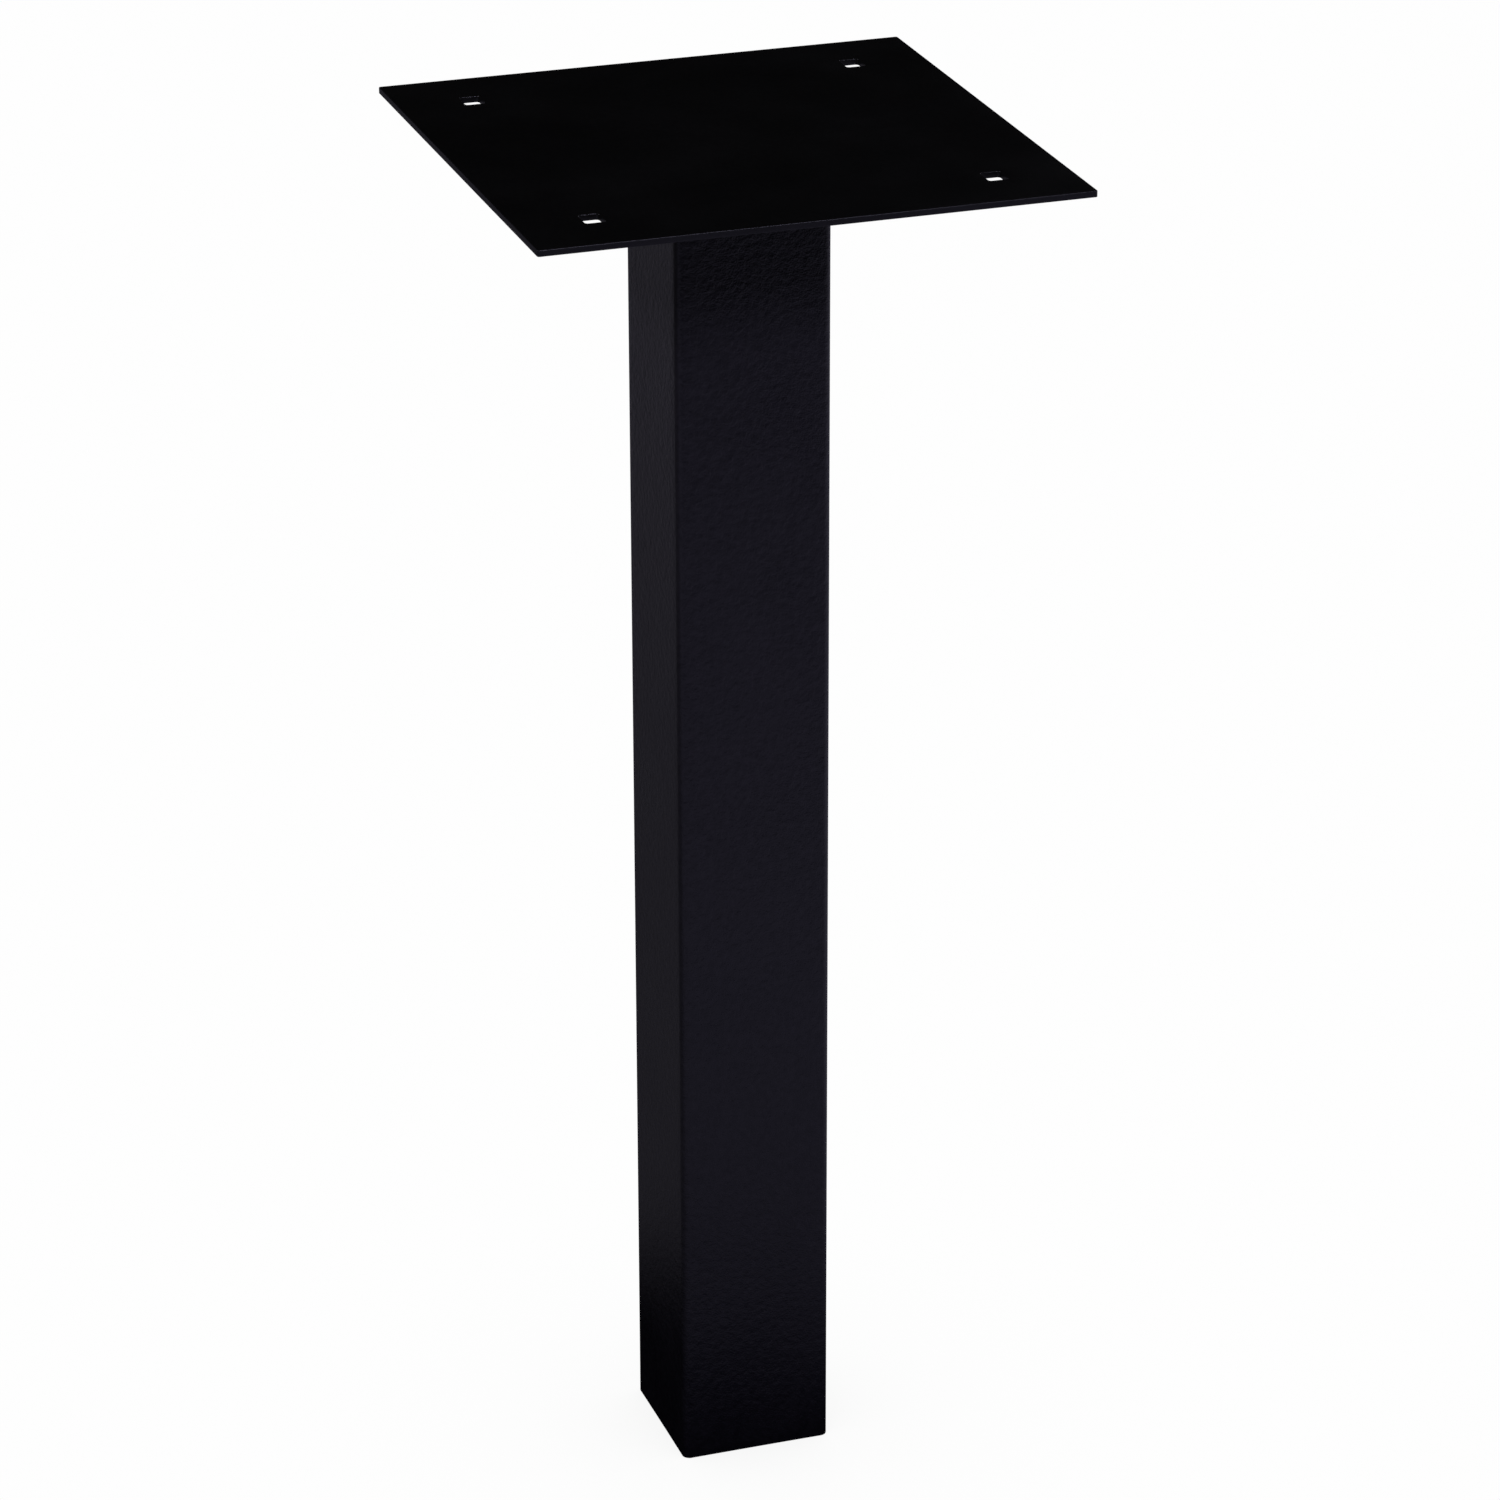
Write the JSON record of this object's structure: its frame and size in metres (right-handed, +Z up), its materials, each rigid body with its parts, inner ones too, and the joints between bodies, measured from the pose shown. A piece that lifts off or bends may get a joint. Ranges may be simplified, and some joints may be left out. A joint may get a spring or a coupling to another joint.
{
  "type": "display plinth",
  "caption": "Square steel tube post with a flat, overhanging square top plate slotted near its corners, black powder coat, open cut foot.",
  "frame": {"origin": "centre of the post's cut foot, on the floor", "axes": "+Z up along the post, -Y towards the front, +X to the right seen from the front"},
  "size_m": [0.35, 0.35, 0.9],
  "materials": {
    "post_coat": "satin fine-textured powder coat",
    "plate_coat": "satin powder coat"
  },
  "bodies": {
    "root": {"post_tube": "post_coat", "top_plate": "plate_coat", "weld_front": "post_coat", "weld_right": "post_coat", "weld_back": "post_coat", "weld_left": "post_coat"}
  },
  "joints": []
}
